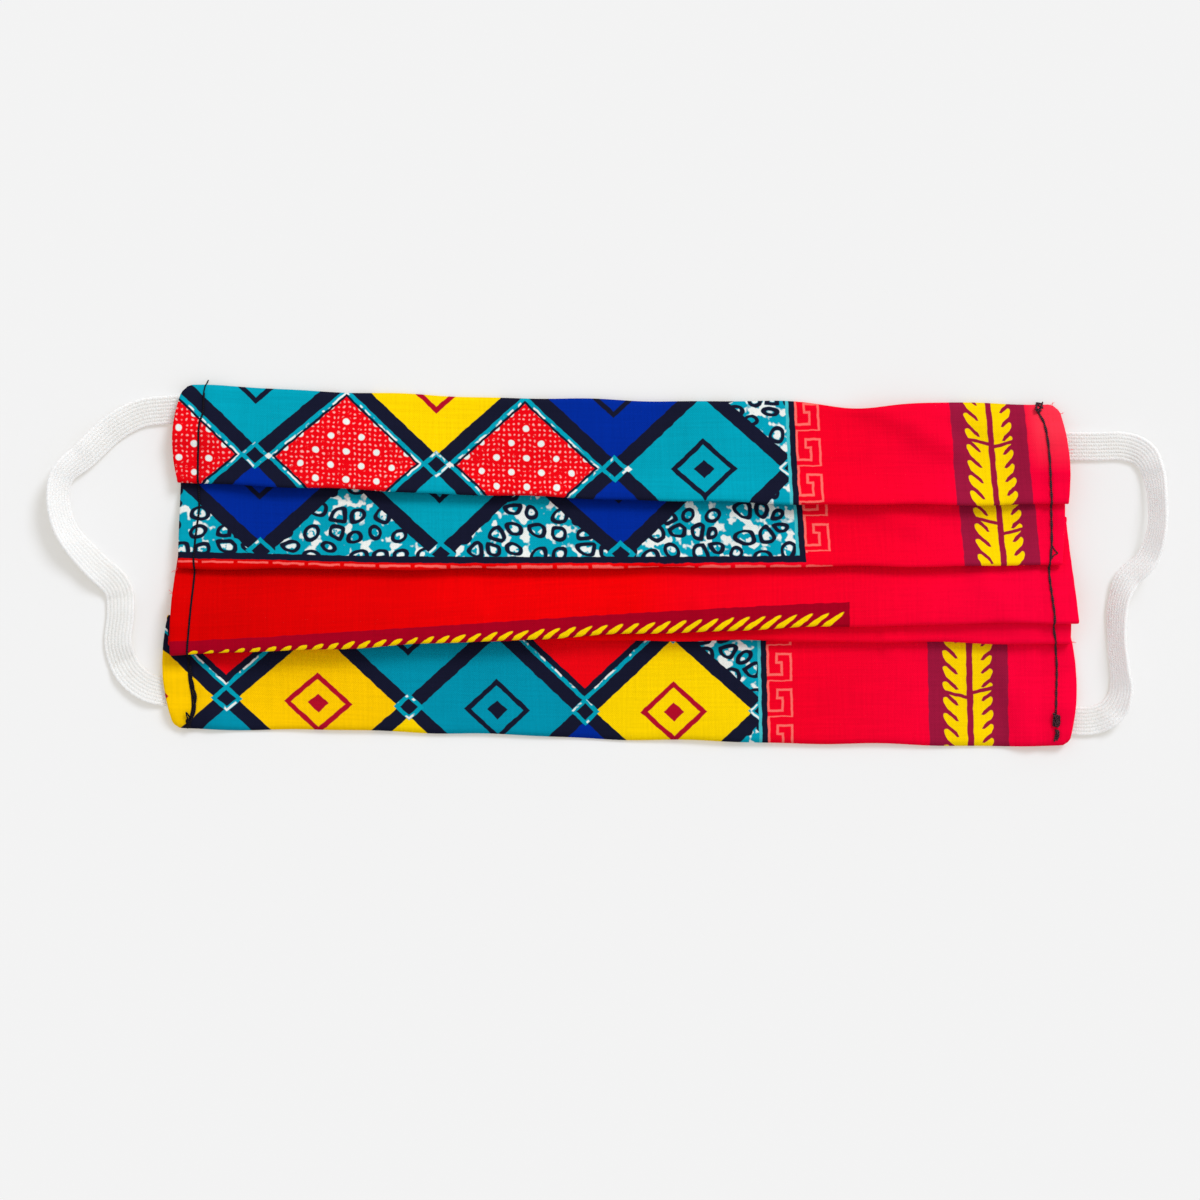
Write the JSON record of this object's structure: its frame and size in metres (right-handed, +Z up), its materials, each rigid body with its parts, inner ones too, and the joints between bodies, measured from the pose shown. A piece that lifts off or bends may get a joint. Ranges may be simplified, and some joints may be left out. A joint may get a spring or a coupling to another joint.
{
  "type": "cloth face mask",
  "caption": "Pleated cotton face mask lying flat, with downward knife pleats and a flat ribbed elastic ear loop sewn under each side.",
  "frame": {"origin": "on the surface that the mask lies on, under the middle of its outline", "axes": "+X along the panel to the right ear loop, +Y from the panel's bottom edge to its top edge, +Z up out of the front of the cloth"},
  "size_m": [0.2491, 0.0805, 0.0077],
  "materials": {
    "cotton_print": "matte plain-weave cotton, mostly red with a printed band pattern in blue, teal, yellow and white",
    "elastic": "white ribbed braided elastic",
    "seam_thread": "black hand-sewing thread"
  },
  "bodies": {
    "root": {"pleated_panel": "cotton_print", "ear_loop_left": "elastic", "ear_loop_right": "elastic"}
  },
  "joints": []
}
